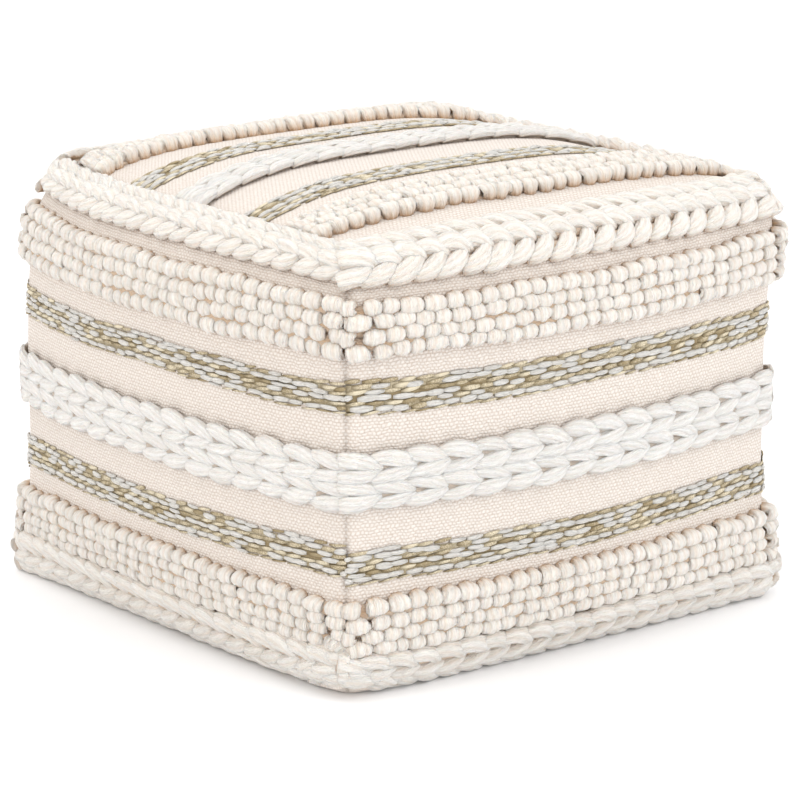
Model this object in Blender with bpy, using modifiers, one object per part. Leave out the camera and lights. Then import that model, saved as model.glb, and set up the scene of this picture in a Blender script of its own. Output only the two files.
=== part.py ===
"""Cube pouf stool: one filled, square cushion body on a thin base panel.

The four sides and the top carry raised woven bands: chevron braids, bands of
loops and flat bands of float stitches.  Units are metres and +Z is up.  The
origin is on the floor under the middle of the overall box.  The front is the
-Y side.
"""

from collections import namedtuple
from math import copysign, pi, sin

import bmesh
import bpy
from mathutils import Matrix, Vector

# ---------------------------------------------------------------- dimensions
HALF_WIDTH = 0.220        # from the middle to a corner seam, square to a side
BOX_MIDDLE = Vector((0.0028, -0.0016, 0.0))   # of the overall box, off the seams' middle
PLAN_POWER = 2.3          # how the bulge of a side dies away towards its corners
CROWN = 0.026             # rise of the top panel over its seam
CROWN_POWER = 3.4         # a high power gives a flat middle and rolled edges
SEAM_GROOVE = 0.002       # how deep a corner seam draws the sides in
SEAM_REACH = 0.040        # share of a side's half width that the groove takes

BODY_CUTS = 11            # cuts in each edge of the block that becomes the body,
                          # and in each edge of the base panel under it
CROWDING = 0.45           # how far those cuts move towards the edges of a face
FACE_EDGE = 0.9999        # a point of the block past this lies on that face
TURN_LINE = 0.90          # the outermost squares of the underside make its rim
BODY_BEND = 0.970         # share of the way to the seam where the body turns up
BASE_THICKNESS = 0.002
BASE_CLEARANCE = 0.0008   # between the base panel and the body
BASE_INSET = 0.004        # the base panel stops short of the seam along a side
BASE_EAR = 0.012          # and shows past it as a lip at the near corner
BASE_DROP = 0.0015        # the lip ends this far below the bottom seam

GAP = 0.0007              # clearance between a band and the cloth under it
BAND_END = 0.990          # a band stops this share of the half width from the middle
TAPER_STITCHES = 1.5      # a braid's chevrons flatten over its last stitches
END_STITCHES = 0.8        # and a band's height changes over this many

# The section of a side, from the bottom seam (first row) to the top seam.
# arc is the distance along the cloth from the middle of the panel. mid_out and
# mid_up are the section at the middle of a side, corner_out and corner_up that
# of its ends. out is measured outwards from HALF_WIDTH, up from the floor.
SideRow = namedtuple("SideRow", "arc mid_out mid_up corner_out corner_up")
SIDE_SECTION = (
    SideRow(-0.200, -0.0160, 0.0045, -0.0030, 0.0150),
    SideRow(-0.185, -0.0020, 0.0085, 0.0000, 0.0185),
    SideRow(-0.168, 0.0105, 0.0185, 0.0028, 0.0240),
    SideRow(-0.150, 0.0185, 0.0320, 0.0045, 0.0325),
    SideRow(-0.120, 0.0260, 0.0590, 0.0045, 0.0565),
    SideRow(-0.060, 0.0325, 0.1170, 0.0030, 0.1160),
    SideRow(0.000, 0.0355, 0.1765, 0.0030, 0.1760),
    SideRow(0.060, 0.0360, 0.2365, 0.0025, 0.2360),
    SideRow(0.120, 0.0345, 0.2960, 0.0015, 0.2950),
    SideRow(0.148, 0.0305, 0.3225, -0.0020, 0.3190),
    SideRow(0.167, 0.0215, 0.3380, -0.0080, 0.3320),
    SideRow(0.185, 0.0075, 0.3490, -0.0150, 0.3435),
    SideRow(0.204, -0.0110, 0.3540, -0.0220, 0.3510),
)
BOTTOM_ARC = SIDE_SECTION[0].arc
TOP_ARC = SIDE_SECTION[-1].arc
TOP_HALF = HALF_WIDTH + SIDE_SECTION[-1].mid_out

# No two corners are alike: lift is how much higher one ends at the top, flare how
# much further out it stands there. lip is 1 where the bottom seam rises over a lip
# of the base panel and 0 where it has settled to the floor and spread out.
Corner = namedtuple("Corner", "lift flare lip")
NEAR_CORNER = Corner(0.000, 0.000, 1.0)
RIGHT_CORNER = Corner(0.004, 0.009, 0.4)
FAR_CORNER = Corner(0.008, 0.003, 0.1)
LEFT_CORNER = Corner(0.009, -0.006, 0.1)
SETTLED_DROP = 0.012
SETTLED_SPREAD = 0.004
HIGH_FROM = 0.020         # lift and flare grow from this arc
HIGH_FULL = 0.155         # to their full size at this one
LOW_FROM = -0.060         # and what the lips bring from this arc
LOW_FULL = -0.170         # to this one
LOW_POWER = 5.0           # the bottom seam rises close to the corners only

# Lower and upper edge of each band of a side, from the top band down, as arc
# lengths. The side panels are cut and sewn a little differently from each other.
FRONT_EDGES = (
    (0.1520, 0.2035), (0.0980, 0.1415), (0.0510, 0.0795), (-0.0230, 0.0225),
    (-0.0840, -0.0565), (-0.1430, -0.0965), (-0.1995, -0.1510),
)
LEFT_EDGES = (
    (0.1590, 0.1960), (0.0990, 0.1455), (0.0530, 0.0780), (-0.0230, 0.0225),
    (-0.0785, -0.0510), (-0.1370, -0.0960), (-0.1995, -0.1440),
)

# The four sides, each turned about Z from the front; bulge scales its swelling,
# relief the height of its bands, start and end are its left and right corner.
Side = namedtuple("Side", "name turn bulge relief start end edges")
SIDES = (
    Side("front", 0.0, 1.00, 1.00, NEAR_CORNER, RIGHT_CORNER, FRONT_EDGES),
    Side("right", pi / 2, 0.90, 1.00, RIGHT_CORNER, FAR_CORNER, LEFT_EDGES),
    Side("back", pi, 0.92, 0.95, FAR_CORNER, LEFT_CORNER, FRONT_EDGES),
    Side("left", -pi / 2, 0.80, 0.85, LEFT_CORNER, NEAR_CORNER, LEFT_EDGES),
)

# A row across a band: across runs from 0 at its lower edge to 1 at its upper
# edge, height is the share of the band's height at a crest, dip the share of
# that height left in a groove, lead how far the row runs ahead, in stitches.
BandRow = namedtuple("BandRow", "across height dip lead")
BRAID_ROWS = (
    BandRow(0.00, 0.00, 1.00, 0.00),
    BandRow(0.11, 0.90, 0.60, 0.40),
    BandRow(0.26, 0.82, 0.62, 1.00),
    BandRow(0.50, 0.78, 0.70, 0.00),
    BandRow(0.74, 0.82, 0.62, 1.00),
    BandRow(0.89, 0.90, 0.60, 0.40),
    BandRow(1.00, 0.00, 1.00, 0.00),
)
EDGE_BRAID_ROWS = (
    BandRow(0.00, 0.00, 1.00, 0.00),
    BandRow(0.16, 0.72, 1.00, 0.00),
    BandRow(0.40, 0.95, 0.72, 0.00),
    BandRow(0.66, 1.00, 0.62, 1.00),
    BandRow(0.88, 0.85, 0.60, 0.40),
    BandRow(1.00, 0.00, 1.00, 0.00),
)
LOOP_ROWS = (
    BandRow(0.00, 0.00, 1.00, 0.0),
    BandRow(0.09, 0.80, 0.90, 0.0),
    BandRow(0.25, 0.56, 1.00, 0.0),
    BandRow(0.37, 0.96, 0.90, 0.0),
    BandRow(0.50, 0.62, 1.00, 0.0),
    BandRow(0.63, 1.00, 0.90, 0.0),
    BandRow(0.75, 0.60, 1.00, 0.0),
    BandRow(0.91, 0.86, 0.90, 0.0),
    BandRow(1.00, 0.00, 1.00, 0.0),
)
FLOAT_ROWS = (
    BandRow(0.00, 0.00, 1.00, 0.0),
    BandRow(0.12, 1.00, 1.00, 0.0),
    BandRow(0.88, 1.00, 1.00, 0.0),
    BandRow(1.00, 0.00, 1.00, 0.0),
)

# A kind of band: its height over the cloth, the share of it left at its ends,
# the stitches along it, the faces across its underside, whether its stitches are
# even, and its rows.
BandKind = namedtuple("BandKind", "height ends stitches under even rows")
CREAM_BRAID = BandKind(0.0120, 0.90, 21, 6, True, BRAID_ROWS)
EDGE_BRAID = BandKind(0.0118, 0.95, 21, 5, True, EDGE_BRAID_ROWS)
WHITE_BRAID = BandKind(0.0085, 0.70, 15, 3, True, BRAID_ROWS)
LOOPS = BandKind(0.0122, 1.00, 7, 4, False, LOOP_ROWS)
FLOATS = BandKind(0.0028, 0.70, 7, 2, False, FLOAT_ROWS)

# The bands: name, kind and material, those of a side from the top down, in the
# order of its edges. Edges on the top panel are distances from its middle.
Band = namedtuple("Band", "name kind material")
SIDE_BANDS = (
    Band("braid_top", CREAM_BRAID, "cream_yarn"),
    Band("loops_upper", LOOPS, "loop_yarn"),
    Band("floats_upper", FLOATS, "float_yarn"),
    Band("braid_mid", WHITE_BRAID, "white_yarn"),
    Band("floats_lower", FLOATS, "float_yarn"),
    Band("loops_lower", LOOPS, "loop_yarn"),
    Band("braid_base", EDGE_BRAID, "cream_yarn"),
)
TOP_BANDS = (
    Band("loops_near", LOOPS, "loop_yarn"),
    Band("floats_near", FLOATS, "float_yarn"),
    Band("braid_mid", WHITE_BRAID, "white_yarn"),
    Band("floats_far", FLOATS, "float_yarn"),
    Band("loops_far", LOOPS, "loop_yarn"),
)
TOP_EDGES = (
    (-0.1745, -0.1360), (-0.1030, -0.0715), (-0.0195, 0.0165), (0.0610, 0.0980),
    (0.1430, 0.1830),
)

# Colour, roughness of each material; none of them is metal.
Finish = namedtuple("Finish", "colour roughness")
FINISHES = {
    "ground_cloth": Finish((0.80, 0.71, 0.63), 0.90),
    "base_cloth": Finish((0.78, 0.69, 0.60), 0.92),
    "cream_yarn": Finish((0.85, 0.79, 0.72), 0.88),
    "loop_yarn": Finish((0.84, 0.77, 0.69), 0.88),
    "white_yarn": Finish((0.90, 0.89, 0.86), 0.85),
    "float_yarn": Finish((0.62, 0.56, 0.40), 0.60),
}


# ------------------------------------------------------- the cushion's surface
def smooth_row(arc):
    """Read the side's section at an arc length, smoothly between its rows."""
    rows = SIDE_SECTION
    last = len(rows) - 2
    index = 0
    while index < last and rows[index + 1].arc < arc:
        index += 1
    before = rows[max(index - 1, 0)]
    start = rows[index]
    end = rows[index + 1]
    after = rows[min(index + 2, last + 1)]
    span = end.arc - start.arc
    t = (arc - start.arc) / span
    values = []
    for column in range(1, len(start)):
        slope_in = (end[column] - before[column]) / (end.arc - before.arc)
        slope_out = (after[column] - start[column]) / (after.arc - start.arc)
        rise = end[column] - start[column]
        a = slope_in * span - rise
        b = rise - slope_out * span
        value = start[column] + t * rise + t * (1 - t) * (a * (1 - t) + b * t)
        values.append(value)
    return SideRow(arc, *values)


def swelling(u, power=PLAN_POWER):
    """How much of its full swelling a side has at u: 1 in its middle, 0 at a seam."""
    return 1 - abs(u) ** power


def ramp(arc, start, full):
    """Grow from 0 at the arc length start to 1 at full, gently at first."""
    return min(1.0, max(0.0, (arc - start) / (full - start))) ** 2


def mixed(first, second, share):
    """What two corners give part of the way from the first to the second."""
    return Corner(*(a * (1 - share) + b * share for a, b in zip(first, second)))


def side_point(side, u, arc):
    """A point of a side: u is -1 at its left seam and 1 at its right seam."""
    row = smooth_row(arc)
    high = ramp(arc, HIGH_FROM, HIGH_FULL)
    low = ramp(arc, LOW_FROM, LOW_FULL)
    ends = mixed(side.start, side.end, (u + 1) / 2)
    settled = (1 - ends.lip) * low
    corner_out = row.corner_out + ends.flare * high + SETTLED_SPREAD * settled
    corner_up = row.corner_up + ends.lift * high - SETTLED_DROP * settled
    groove = SEAM_GROOVE * max(0.0, (abs(u) - 1 + SEAM_REACH) / SEAM_REACH)
    corner = HALF_WIDTH + corner_out - groove
    bulge = (row.mid_out - corner_out) * swelling(u)
    if bulge > 0:
        bulge *= side.bulge
    level = swelling(u, PLAN_POWER + (LOW_POWER - PLAN_POWER) * low)
    up = corner_up + (row.mid_up - corner_up) * level
    point = Vector((u * corner, -corner - bulge, up))
    return Matrix.Rotation(side.turn, 3, "Z") @ point


def across_seams(p, q, arc):
    """Fill in between the four sides' seams at one arc length (p, q: -1 to 1)."""
    front, right, back, left = SIDES
    s = (p + 1) / 2
    t = (q + 1) / 2
    near = side_point(front, p, arc)
    far = side_point(back, -p, arc)
    west = side_point(left, -q, arc)
    east = side_point(right, q, arc)
    near_west = side_point(front, -1, arc)
    near_east = side_point(front, 1, arc)
    far_west = side_point(back, 1, arc)
    far_east = side_point(back, -1, arc)
    lengthwise = near * (1 - t) + far * t
    crosswise = west * (1 - s) + east * s
    near_corners = near_west * (1 - s) + near_east * s
    far_corners = far_west * (1 - s) + far_east * s
    corners = near_corners * (1 - t) + far_corners * t
    return lengthwise + crosswise - corners


def top_point(p, q):
    """A point of the crowned top panel."""
    point = across_seams(p, q, TOP_ARC)
    rise = (1 - abs(p) ** CROWN_POWER) * (1 - abs(q) ** CROWN_POWER)
    point.z += CROWN * rise
    return point


def filled_out(p, bend):
    """Move a grid line of the underside so that its flat part reaches bend."""
    if abs(p) <= TURN_LINE:
        return p * bend / TURN_LINE
    short = (1 - abs(p)) * (1 - bend) / (1 - TURN_LINE)
    return copysign(1 - short, p)


def lip_share(p, q):
    """How much of a lip the corners around a point of the underside give it."""
    near = mixed(NEAR_CORNER, RIGHT_CORNER, (p + 1) / 2)
    far = mixed(LEFT_CORNER, FAR_CORNER, (p + 1) / 2)
    return mixed(near, far, (q + 1) / 2).lip


def bottom_point(p, q, bend):
    """A point of the underside in plan, and how high the bottom seam is near it."""
    along = filled_out(p, bend)
    across = filled_out(q, bend)
    point = across_seams(along, across, BOTTOM_ARC)
    seam = SIDE_SECTION[0]
    corner_up = seam.corner_up - SETTLED_DROP * (1 - lip_share(along, across))
    level = swelling(min(abs(along), abs(across)), LOW_POWER)
    point.z = corner_up + (seam.mid_up - corner_up) * level
    return point


def on_rim(p, q):
    return max(abs(p), abs(q)) > TURN_LINE


def outward(surface, along, across):
    """The unit normal of a surface function."""
    step = 0.001
    run = surface(along + step, across) - surface(along - step, across)
    climb = surface(along, across + step) - surface(along, across - step)
    return run.cross(climb).normalized()


# ------------------------------------------------------------------- materials
def make_material(name, finish):
    material = bpy.data.materials.new(name)
    material.use_nodes = True
    shader = material.node_tree.nodes["Principled BSDF"]
    shader.inputs["Base Color"].default_value = (*finish.colour, 1.0)
    shader.inputs["Roughness"].default_value = finish.roughness
    shader.inputs["Metallic"].default_value = 0.0
    material.diffuse_color = (*finish.colour, 1.0)
    return material


def add_object(name, mesh, material, collection):
    mesh.transform(Matrix.Translation(-BOX_MIDDLE))
    obj = bpy.data.objects.new(name, mesh)
    obj.data.materials.append(material)
    obj.data.shade_smooth()
    collection.objects.link(obj)
    return obj


# -------------------------------------------------------------- body and base
def crowded(w):
    """Move grid lines towards both ends of -1 to 1, where the form turns."""
    return (1 - CROWDING) * w + CROWDING * sin(w * pi / 2)


def body_position(corner):
    """Map a point of the block from -1 to 1 onto the cushion."""
    x, y, z = (crowded(value) for value in corner)
    if corner.z > FACE_EDGE:
        return top_point(x, y)
    if corner.z < -FACE_EDGE:
        point = bottom_point(x, y, BODY_BEND)
        if not on_rim(x, y):
            point.z = BASE_THICKNESS + BASE_CLEARANCE
        return point
    middle = (TOP_ARC + BOTTOM_ARC) / 2
    arc = middle + z * (TOP_ARC - BOTTOM_ARC) / 2
    front, right, back, left = SIDES
    if corner.y < -FACE_EDGE:
        return side_point(front, x, arc)
    if corner.x > FACE_EDGE:
        return side_point(right, y, arc)
    if corner.y > FACE_EDGE:
        return side_point(back, -x, arc)
    return side_point(left, -y, arc)


def make_body(material, collection):
    """One filled solid: a block whose points are moved onto the cushion."""
    mesh = bpy.data.meshes.new("filled_body")
    bm = bmesh.new()
    bmesh.ops.create_cube(bm, size=2.0)
    bmesh.ops.subdivide_edges(bm, edges=bm.edges[:], cuts=BODY_CUTS, use_grid_fill=True)
    for vert in bm.verts:
        vert.co = body_position(vert.co.copy())
    bmesh.ops.recalc_face_normals(bm, faces=bm.faces[:])
    bm.to_mesh(mesh)
    bm.free()
    return add_object("filled_body", mesh, material, collection)


def base_position(corner):
    """A point of the base panel's underside, from a square of -1 to 1."""
    p = crowded(corner.x)
    q = crowded(corner.y)
    point = bottom_point(p, q, 1.0)
    cornering = min(abs(p), abs(q))
    lip = lip_share(p, q)
    ear = (BASE_INSET + BASE_EAR) * cornering ** PLAN_POWER * lip
    scale = 1 + (ear - BASE_INSET) / HALF_WIDTH
    height = 0.0
    if on_rim(p, q):
        height = (point.z - BASE_DROP) * cornering ** LOW_POWER * lip
    return Vector((point.x * scale, point.y * scale, height))


def make_base(material, collection):
    """The base panel: a thin sheet, flat on the floor, its corners curled up."""
    mesh = bpy.data.meshes.new("base_panel")
    bm = bmesh.new()
    squares = BODY_CUTS + 1
    bmesh.ops.create_grid(bm, x_segments=squares, y_segments=squares, size=1.0)
    for vert in bm.verts:
        vert.co = base_position(vert.co.copy())
    bm.to_mesh(mesh)
    bm.free()
    base = add_object("base_panel", mesh, material, collection)
    thicken = base.modifiers.new("Thickness", "SOLIDIFY")
    thicken.thickness = BASE_THICKNESS
    thicken.offset = 1.0
    return base


# ----------------------------------------------------------------------- bands
def band_section(surface, kind, edges, relief, along, column):
    """One closed section of a band: up over its rows, then back underneath."""
    low, high = edges
    pitch = 2 * BAND_END / kind.stitches
    to_end = (BAND_END - abs(along)) / pitch
    lead_step = pitch / 2 * min(1.0, to_end / TAPER_STITCHES)
    inner = min(1.0, to_end / END_STITCHES)
    height = kind.height * relief * (kind.ends + (1 - kind.ends) * inner)
    width = high - low
    section = []
    for row in kind.rows:
        ahead = min(along + row.lead * lead_step, BAND_END)
        across = low + row.across * width
        share = row.height
        if column % 2:
            share *= row.dip
        lift = GAP + height * share
        point = surface(ahead, across) + outward(surface, ahead, across) * lift
        point.z = max(point.z, 0.0)
        section.append(point)
    for index in range(1, kind.under):
        across = high - index / kind.under * width
        point = surface(along, across) + outward(surface, along, across) * GAP
        section.append(point)
    return section


def make_band(name, surface, relief, band, edges, material, collection):
    """A band as one solid, lofted through its sections from end to end."""
    columns = 2 * band.kind.stitches
    mesh = bpy.data.meshes.new(name)
    bm = bmesh.new()
    rings = []
    for column in range(columns + 1):
        along = 2 * column / columns - 1
        if not band.kind.even:
            along = crowded(along)
        section = band_section(surface, band.kind, edges, relief, along * BAND_END, column)
        rings.append([bm.verts.new(point) for point in section])
    size = len(rings[0])
    for here, there in zip(rings, rings[1:]):
        for index in range(size):
            follow = (index + 1) % size
            bm.faces.new((here[index], there[index], there[follow], here[follow]))
    bm.faces.new(rings[0])
    bm.faces.new(list(reversed(rings[-1])))
    bmesh.ops.recalc_face_normals(bm, faces=bm.faces[:])
    bm.to_mesh(mesh)
    bm.free()
    return add_object(name, mesh, material, collection)


def side_surface(side):
    return lambda along, across: side_point(side, along, across)


def top_surface(along, across):
    return top_point(along, across / TOP_HALF)


# ------------------------------------------------------------------- assembly
def main():
    for obj in list(bpy.data.objects):
        bpy.data.objects.remove(obj, do_unlink=True)
    collection = bpy.data.collections.new("cube_pouf")
    bpy.context.scene.collection.children.link(collection)
    materials = {name: make_material(name, finish) for name, finish in FINISHES.items()}

    make_base(materials["base_cloth"], collection)
    make_body(materials["ground_cloth"], collection)
    for side in SIDES:
        surface = side_surface(side)
        for band, edges in zip(SIDE_BANDS, side.edges):
            name = side.name + "_" + band.name
            material = materials[band.material]
            make_band(name, surface, side.relief, band, edges, material, collection)
    for band, edges in zip(TOP_BANDS, TOP_EDGES):
        material = materials[band.material]
        make_band("top_" + band.name, top_surface, 1.0, band, edges, material, collection)


main()
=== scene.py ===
"""Looks of the cube pouf stool: a filled, woven cube with raised braids and loops.

Every yarn is laid on the same cushion surface that the solids have.  Units are
metres, +Z is up, and the front is the -Y side.
"""

from collections import namedtuple
from math import cos, pi, radians, sin

import bpy
import numpy as np
from mathutils import Matrix, Vector


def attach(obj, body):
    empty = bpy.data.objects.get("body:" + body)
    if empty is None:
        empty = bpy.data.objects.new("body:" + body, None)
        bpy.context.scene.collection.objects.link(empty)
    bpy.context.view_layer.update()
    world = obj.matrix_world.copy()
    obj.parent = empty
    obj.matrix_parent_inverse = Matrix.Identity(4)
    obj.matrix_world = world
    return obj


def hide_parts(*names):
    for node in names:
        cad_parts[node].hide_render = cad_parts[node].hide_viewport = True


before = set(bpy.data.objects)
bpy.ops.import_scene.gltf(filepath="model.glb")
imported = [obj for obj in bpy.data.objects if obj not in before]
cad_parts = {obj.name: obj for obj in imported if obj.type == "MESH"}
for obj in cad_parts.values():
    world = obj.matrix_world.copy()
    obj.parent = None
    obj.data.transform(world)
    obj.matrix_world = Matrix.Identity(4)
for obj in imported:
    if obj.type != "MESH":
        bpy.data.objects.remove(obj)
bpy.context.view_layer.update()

# ------------------------------------------------- the cushion, as in the solids
HALF_WIDTH = 0.220          # from the middle to a corner seam, along X or Y
BOX_MIDDLE = np.array((0.0028, -0.0016, 0.0))    # taken off every place
PLAN_POWER = 2.3            # how squarely a side swells between its seams
CROWN = 0.026               # rise of the top panel's middle over its edges
CROWN_POWER = 3.4
SEAM_GROOVE = 0.002         # how far a corner seam is drawn in
SEAM_REACH = 0.040          # share of a half side that is drawn in with it
TURN_LINE = 0.90            # share of the underside that lies flat
BODY_BEND = 0.970           # where the body's underside turns up
BASE_THICKNESS = 0.002
BASE_CLEARANCE = 0.0008     # between the base panel and the body
BASE_INSET = 0.004          # the base panel's edge inside the body's seam
BASE_DROP = 0.0015          # the lip's edge below the body's seam

# The section of a side: its arc length from the middle, then how far it stands out
# and up, halfway along the side (mid) and at its corner seams (corner).
SIDE_SECTION = np.array((
    (-0.200, -0.0160, 0.0045, -0.0030, 0.0150),
    (-0.185, -0.0020, 0.0085, 0.0000, 0.0185),
    (-0.168, 0.0105, 0.0185, 0.0028, 0.0240),
    (-0.150, 0.0185, 0.0320, 0.0045, 0.0325),
    (-0.120, 0.0260, 0.0590, 0.0045, 0.0565),
    (-0.060, 0.0325, 0.1170, 0.0030, 0.1160),
    (0.000, 0.0355, 0.1765, 0.0030, 0.1760),
    (0.060, 0.0360, 0.2365, 0.0025, 0.2360),
    (0.120, 0.0345, 0.2960, 0.0015, 0.2950),
    (0.148, 0.0305, 0.3225, -0.0020, 0.3190),
    (0.167, 0.0215, 0.3380, -0.0080, 0.3320),
    (0.185, 0.0075, 0.3490, -0.0150, 0.3435),
    (0.204, -0.0110, 0.3540, -0.0220, 0.3510),
))
BOTTOM_ARC = SIDE_SECTION[0, 0]
TOP_ARC = SIDE_SECTION[-1, 0]
TOP_HALF = HALF_WIDTH + SIDE_SECTION[-1, 1]
SEAM_UP = SIDE_SECTION[0, 4]
SEAM_MID_UP = SIDE_SECTION[0, 2]

# lift and flare of the upper end of a corner seam; share of the base's lip at it
Corner = namedtuple("Corner", "lift flare lip")
NEAR_CORNER = Corner(0.000, 0.000, 1.0)
RIGHT_CORNER = Corner(0.004, 0.009, 0.4)
FAR_CORNER = Corner(0.008, 0.003, 0.1)
LEFT_CORNER = Corner(0.009, -0.006, 0.1)
SETTLED_DROP = 0.012        # how far a corner without a lip sinks at the floor
SETTLED_SPREAD = 0.004
HIGH_FROM = 0.020           # arc lengths between which lift and flare set in
HIGH_FULL = 0.155
LOW_FROM = -0.060           # and between which the settling does
LOW_FULL = -0.170
LOW_POWER = 5.0             # of the swelling at the floor

# Lower and upper edge of each band of a side, from the top band down.
FRONT_EDGES = (
    (0.1520, 0.2035), (0.0980, 0.1415), (0.0510, 0.0795), (-0.0230, 0.0225),
    (-0.0840, -0.0565), (-0.1430, -0.0965), (-0.1995, -0.1510),
)
LEFT_EDGES = (
    (0.1590, 0.1960), (0.0990, 0.1455), (0.0530, 0.0780), (-0.0230, 0.0225),
    (-0.0785, -0.0510), (-0.1370, -0.0960), (-0.1995, -0.1440),
)
TOP_EDGES = (
    (-0.1745, -0.1360), (-0.1030, -0.0715), (-0.0195, 0.0165), (0.0610, 0.0980),
    (0.1430, 0.1830),
)

Side = namedtuple("Side", "name turn bulge relief start end edges")
SIDES = (
    Side("front", 0.0, 1.00, 1.00, NEAR_CORNER, RIGHT_CORNER, FRONT_EDGES),
    Side("right", pi / 2, 0.90, 1.00, RIGHT_CORNER, FAR_CORNER, LEFT_EDGES),
    Side("back", pi, 0.92, 0.95, FAR_CORNER, LEFT_CORNER, FRONT_EDGES),
    Side("left", -pi / 2, 0.80, 0.85, LEFT_CORNER, NEAR_CORNER, LEFT_EDGES),
)
FRONT, RIGHT, BACK, LEFT = SIDES


def smooth_rows(arc):
    """The columns of the section at arc lengths, smoothly between its rows."""
    arcs = SIDE_SECTION[:, 0]
    last = len(arcs) - 2
    index = np.minimum(np.searchsorted(arcs[1:], arc), last)
    before = SIDE_SECTION[np.maximum(index - 1, 0)]
    start = SIDE_SECTION[index]
    end = SIDE_SECTION[index + 1]
    after = SIDE_SECTION[np.minimum(index + 2, last + 1)]
    span = (end - start)[..., :1]
    t = (arc[..., None] - start[..., :1]) / span
    slope_in = (end - before) / (end - before)[..., :1]
    slope_out = (after - start) / (after - start)[..., :1]
    rise = end - start
    a = slope_in * span - rise
    b = rise - slope_out * span
    rows = start + t * rise + t * (1 - t) * (a * (1 - t) + b * t)
    return rows[..., 1], rows[..., 2], rows[..., 3], rows[..., 4]


def swelling(u, power=PLAN_POWER):
    return 1 - np.abs(u) ** power


def ramp(arc, start, full):
    return np.clip((arc - start) / (full - start), 0, 1) ** 2


def side_point(side, u, arc):
    """Points of a side: u runs from -1 at its left seam to 1 at its right one."""
    u, arc = np.broadcast_arrays(np.asarray(u, float), np.asarray(arc, float))
    mid_out, mid_up, corner_out, corner_up = smooth_rows(arc)
    high = ramp(arc, HIGH_FROM, HIGH_FULL)
    low = ramp(arc, LOW_FROM, LOW_FULL)
    share = (u + 1) / 2
    ends = zip(side.start, side.end)
    lift, flare, lip = (a * (1 - share) + b * share for a, b in ends)
    settled = (1 - lip) * low
    corner_out = corner_out + flare * high + SETTLED_SPREAD * settled
    corner_up = corner_up + lift * high - SETTLED_DROP * settled
    groove = SEAM_GROOVE * np.maximum(0, (np.abs(u) - 1 + SEAM_REACH) / SEAM_REACH)
    corner = HALF_WIDTH + corner_out - groove
    bulge = (mid_out - corner_out) * swelling(u)
    bulge = np.where(bulge > 0, bulge * side.bulge, bulge)
    level = swelling(u, PLAN_POWER + (LOW_POWER - PLAN_POWER) * low)
    up = corner_up + (mid_up - corner_up) * level
    x = u * corner
    y = -corner - bulge
    c, s = cos(side.turn), sin(side.turn)
    return np.stack((c * x - s * y, s * x + c * y, up), -1)


def across_seams(p, q, arc):
    """Fill in between the four sides' seams at one arc length (p, q: -1 to 1)."""
    p, q = np.broadcast_arrays(np.asarray(p, float), np.asarray(q, float))
    arc = np.full_like(p, arc)
    one = np.ones_like(p)
    s = ((p + 1) / 2)[..., None]
    t = ((q + 1) / 2)[..., None]
    lengthwise = side_point(FRONT, p, arc) * (1 - t) + side_point(BACK, -p, arc) * t
    crosswise = side_point(LEFT, -q, arc) * (1 - s) + side_point(RIGHT, q, arc) * s
    near = side_point(FRONT, -one, arc) * (1 - s) + side_point(FRONT, one, arc) * s
    far = side_point(BACK, one, arc) * (1 - s) + side_point(BACK, -one, arc) * s
    return lengthwise + crosswise - near * (1 - t) - far * t


def top_point(p, q):
    """Points of the crowned top panel."""
    point = across_seams(p, q, TOP_ARC)
    rise = (1 - np.abs(p) ** CROWN_POWER) * (1 - np.abs(q) ** CROWN_POWER)
    point[..., 2] += CROWN * rise
    return point


def lip_share(p, q):
    s = (p + 1) / 2
    t = (q + 1) / 2
    near = NEAR_CORNER.lip * (1 - s) + RIGHT_CORNER.lip * s
    far = LEFT_CORNER.lip * (1 - s) + FAR_CORNER.lip * s
    return near * (1 - t) + far * t


def filled_out(p, bend):
    flat = p * bend / TURN_LINE
    short = (1 - np.abs(p)) * (1 - bend) / (1 - TURN_LINE)
    return np.where(np.abs(p) <= TURN_LINE, flat, np.copysign(1 - short, p))


def bottom_point(p, q, bend):
    along = filled_out(p, bend)
    across = filled_out(q, bend)
    point = across_seams(along, across, BOTTOM_ARC)
    corner_up = SEAM_UP - SETTLED_DROP * (1 - lip_share(along, across))
    level = swelling(np.minimum(np.abs(along), np.abs(across)), LOW_POWER)
    point[..., 2] = corner_up + (SEAM_MID_UP - corner_up) * level
    return point


SIDE_HALF_LENGTH = 0.2245   # half the cloth between the seams of a side
TOP_HALF_LENGTH = 0.2125    # and of the top panel
TANGENT_STEP = 0.0005


class Panel:
    """A side or the top: a surface over metres along it (x) and across it (y)."""

    def __init__(self, name, surface, half_length, relief, edges):
        self.name = name
        self.surface = surface
        self.half_length = half_length
        self.relief = relief
        self.edges = edges

    def point(self, x, y):
        return self.surface(x / self.half_length, y)

    def framed(self, x, y):
        """Points with their unit tangents along and across, and the normals."""
        step = TANGENT_STEP
        place = self.point(x, y)
        along = unit(self.point(x + step, y) - self.point(x - step, y))
        across = self.point(x, y + step) - self.point(x, y - step)
        normal = unit(np.cross(along, across))
        return place, along, np.cross(normal, along), normal


def unit(vectors):
    return vectors / np.linalg.norm(vectors, axis=-1, keepdims=True)


def side_panel(side):
    return Panel(side.name, lambda u, y: side_point(side, u, y), SIDE_HALF_LENGTH,
                 side.relief, side.edges)


PANELS = [side_panel(side) for side in SIDES]
TOP_PANEL = Panel("top", lambda u, y: top_point(u, y / TOP_HALF), TOP_HALF_LENGTH, 1.0,
                  TOP_EDGES)


# -------------------------------------------------------------------- materials
Tools = namedtuple(
    "Tools", "put math mix noise split joined stretched attribute bump scattered"
)


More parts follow.
